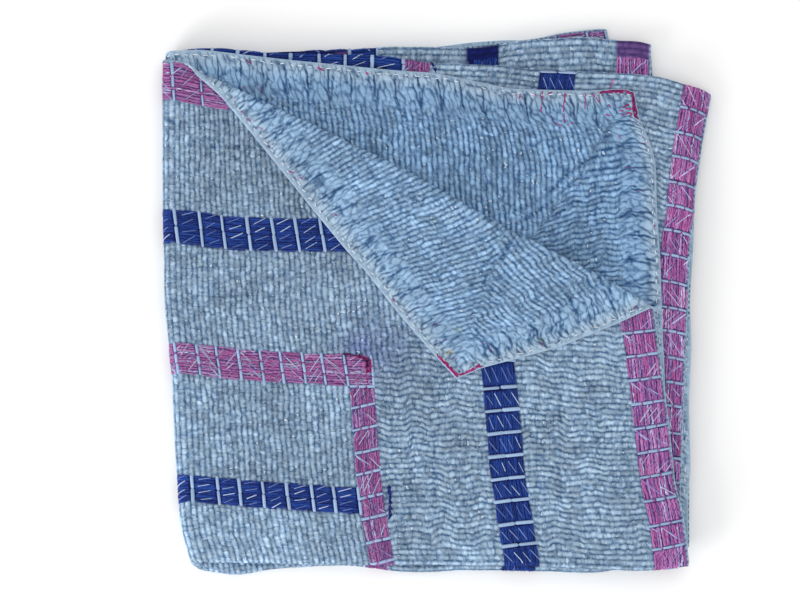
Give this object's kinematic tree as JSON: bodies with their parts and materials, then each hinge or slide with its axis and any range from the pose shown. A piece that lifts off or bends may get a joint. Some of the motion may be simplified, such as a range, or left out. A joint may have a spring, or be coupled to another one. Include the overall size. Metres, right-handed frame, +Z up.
{
  "type": "throw blanket",
  "caption": "Hand-quilted cotton throw, folded flat in layers, with embroidered block bands and one corner of the top layer turned back.",
  "frame": {"origin": "on the ground under the middle of the folded bundle", "axes": "+Z up out of the pile of layers, +X from the lengthwise fold to the side hems, +Y from the bottom creases to the end hems"},
  "size_m": [0.5896, 0.5868, 0.0346],
  "materials": {
    "quilted_cotton": "matt washed cotton in running-stitch rows, with bands of navy and magenta floats"
  },
  "bodies": {
    "root": {"throw": "quilted_cotton"}
  },
  "joints": []
}
